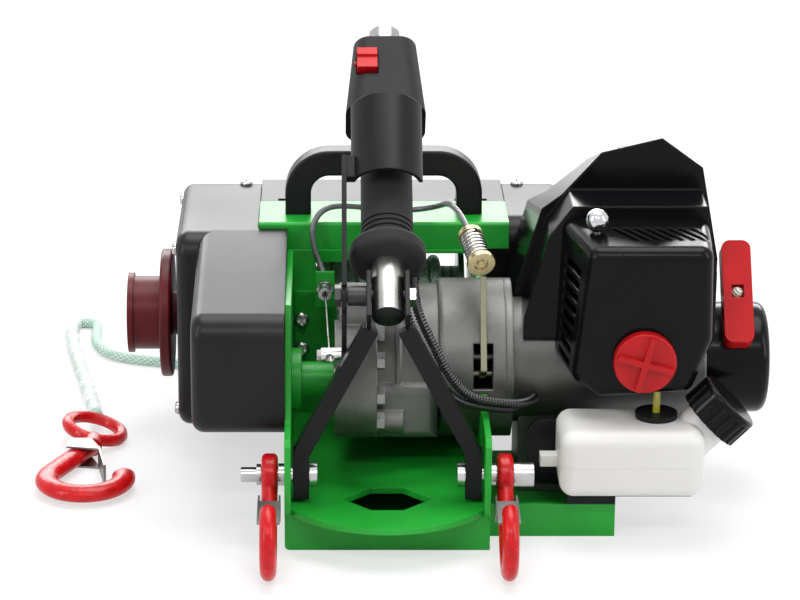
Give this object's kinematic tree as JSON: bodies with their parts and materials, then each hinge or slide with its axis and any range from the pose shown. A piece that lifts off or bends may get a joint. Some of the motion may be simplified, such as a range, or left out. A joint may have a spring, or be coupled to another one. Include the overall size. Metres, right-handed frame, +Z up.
{
  "type": "petrol forestry winch",
  "caption": "Portable engine-driven forestry winch: steel frame with carry handle, rope drum and capstan, control arm with dead-man lever, anchor hooks and rope with hook.",
  "frame": {"origin": "on the floor under the middle of the frame, 170 mm behind the base's front lip", "axes": "+X to the engine side, +Y to the rear where the rope leaves, +Z up"},
  "size_m": [0.614, 0.6219, 0.3691],
  "materials": {
    "green_paint": "gloss powder coat",
    "black_paint": "satin powder coat",
    "black_gloss": "glossy moulding",
    "black_matte": "fine grained moulding",
    "red_paint": "gloss enamel",
    "red_plastic": "glossy moulding",
    "dark_red": "anodised look",
    "cast_metal": "die cast",
    "steel": "turned",
    "zinc": "bright zinc",
    "brass": "turned",
    "tank_white": "translucent white moulding",
    "rope": "braided",
    "rubber": "matte",
    "fuel_line": "clear yellow"
  },
  "bodies": {
    "frame": {"base_tray": "green_paint", "winch_frame": "green_paint", "front_wall": "green_paint", "top_beam": "green_paint", "cable_bracket": "green_paint", "carry_handle": "black_paint", "drum_guard": "black_paint", "drive_cover": "black_matte", "drum_end_cover": "black_matte", "cover_screws": "steel", "bracket_screws": "zinc", "cable_adjuster": "zinc", "brake_cable": "steel", "release_plunger": "brass", "release_spring": "zinc", "shaft_bearings": "steel", "gearbox_housing": "cast_metal", "housing_bolts": "zinc", "clutch_housing": "cast_metal", "drive_chain": "steel", "crankcase": "cast_metal", "cylinder": "cast_metal", "engine_shroud": "black_gloss", "air_filter_cover": "black_gloss", "starter_housing": "black_matte", "fuel_tank": "tank_white", "tank_grommet": "rubber", "fuel_line": "fuel_line", "tank_bracket": "black_paint", "throttle_conduits": "black_matte", "control_fork": "black_paint", "control_tube": "zinc", "switch_housing": "black_matte", "hand_grip": "rubber", "cross_bolt": "zinc", "hook_pins": "zinc", "rope_lead": "rope", "rope_hook": "red_paint"},
    "drum": {"drum_spool": "steel", "rope_winding": "rope", "drum_sprocket": "steel", "capstan": "dark_red"},
    "output": {"output_shaft": "steel"},
    "input": {"input_pinion": "steel"},
    "crank": {"crankshaft": "steel"},
    "starter_pull": {"starter_grip": "red_plastic"},
    "pulley": {"starter_pulley": "black_matte"},
    "dead_man": {"dead_man_lever": "black_paint"},
    "wire": {"brake_wire": "steel"},
    "release": {"release_lever": "cast_metal"},
    "trigger": {"throttle_trigger": "black_matte"},
    "switch": {"stop_switch": "red_plastic"},
    "cap": {"fuel_cap": "black_matte"},
    "knob": {"filter_knob": "red_plastic"},
    "choke": {"choke_knob": "zinc"},
    "hook_left": {"anchor_hook_left": "red_paint"},
    "hook_right": {"anchor_hook_right": "red_paint"},
    "latch_l": {"latch_left": "zinc"},
    "latch_r": {"latch_right": "zinc"},
    "latch_rope": {"rope_latch": "zinc"}
  },
  "joints": [
    {"name": "drum_spin", "type": "hinge", "parent": "frame", "child": "drum", "pos_m": [0, 0.112, 0.103], "axis": [1, 0, 0], "continuous": true},
    {"name": "output_spin", "type": "hinge", "parent": "frame", "child": "output", "pos_m": [0, -0.072, 0.11], "axis": [1, 0, 0], "continuous": true},
    {"name": "input_spin", "type": "hinge", "parent": "frame", "child": "input", "pos_m": [0, -0.02, 0.11], "axis": [1, 0, 0], "continuous": true},
    {"name": "crank_spin", "type": "hinge", "parent": "frame", "child": "crank", "pos_m": [0.15, -0.02, 0.11], "axis": [1, 0, 0], "continuous": true},
    {"name": "pulley_spin", "type": "hinge", "parent": "frame", "child": "pulley", "pos_m": [0.288, -0.02, 0.11], "axis": [1, 0, 0], "range_deg": [0, 78], "stiffness_Nm_per_rad": 0.3, "springref_deg": -28.65},
    {"name": "starter_pull", "type": "slide", "parent": "frame", "child": "starter_pull", "axis": [0, -0.8, 0.6], "range_m": [0, 0.05]},
    {"name": "dead_man_press", "type": "hinge", "parent": "frame", "child": "dead_man", "pos_m": [-0.0345, -0.13362, 0.20247], "axis": [1, 0, 0], "range_deg": [-7, 0], "stiffness_Nm_per_rad": 6, "springref_deg": 6.88},
    {"name": "wire_pull", "type": "slide", "parent": "frame", "child": "wire", "axis": [0.0316, -0.995, -0.0948], "range_m": [0, 0.0066]},
    {"name": "release_swing", "type": "hinge", "parent": "frame", "child": "release", "pos_m": [0.079, -0.064, 0.111], "axis": [1, 0, 0], "range_deg": [0, 6.1]},
    {"name": "throttle_press", "type": "hinge", "parent": "frame", "child": "trigger", "pos_m": [0, 0.03022, 0.29277], "axis": [1, 0, 0], "range_deg": [-12, 0], "stiffness_Nm_per_rad": 0.3, "springref_deg": 11.46},
    {"name": "stop_rock", "type": "hinge", "parent": "frame", "child": "switch", "pos_m": [-0.015, 0.03758, 0.34676], "axis": [1, 0, 0], "range_deg": [-8, 8]},
    {"name": "cap_turn", "type": "hinge", "parent": "frame", "child": "cap", "pos_m": [0.258, -0.128, 0.095], "axis": [0.7071, 0, 0.7071], "range_deg": [0, 270]},
    {"name": "knob_turn", "type": "hinge", "parent": "frame", "child": "knob", "pos_m": [0.204, -0.136, 0.149], "axis": [0, 1, 0], "range_deg": [0, 90]},
    {"name": "choke_pull", "type": "slide", "parent": "frame", "child": "choke", "axis": [0, 0, 1], "range_m": [0, 0.01]},
    {"name": "hook_left_swing", "type": "hinge", "parent": "frame", "child": "hook_left", "pos_m": [-0.094, -0.15, 0.057], "axis": [1, 0, 0], "range_deg": [-80, 0]},
    {"name": "hook_right_swing", "type": "hinge", "parent": "frame", "child": "hook_right", "pos_m": [0.094, -0.15, 0.057], "axis": [1, 0, 0], "range_deg": [-80, 0]},
    {"name": "latch_left_open", "type": "hinge", "parent": "hook_left", "child": "latch_l", "pos_m": [-0.094, -0.17775, 0.03917], "axis": [1, 0, 0], "range_deg": [0, 20], "stiffness_Nm_per_rad": 0.05, "springref_deg": -17.19},
    {"name": "latch_right_open", "type": "hinge", "parent": "hook_right", "child": "latch_r", "pos_m": [0.094, -0.17775, 0.03917], "axis": [1, 0, 0], "range_deg": [0, 20], "stiffness_Nm_per_rad": 0.05, "springref_deg": -17.19},
    {"name": "rope_latch_open", "type": "hinge", "parent": "frame", "child": "latch_rope", "pos_m": [-0.2615, 0.01638, 0.0095], "axis": [0, 0, -1], "range_deg": [0, 20], "stiffness_Nm_per_rad": 0.05, "springref_deg": -17.19}
  ],
  "couplings": [
    {"joint": "output_spin", "follows": "drum_spin", "ratio": 3},
    {"joint": "input_spin", "follows": "drum_spin", "ratio": -9},
    {"joint": "starter_pull", "follows": "pulley_spin", "m_per_rad": 0.0365},
    {"joint": "wire_pull", "follows": "dead_man_press", "m_per_rad": -0.052931},
    {"joint": "release_swing", "follows": "dead_man_press", "ratio": -0.85714}
  ]
}
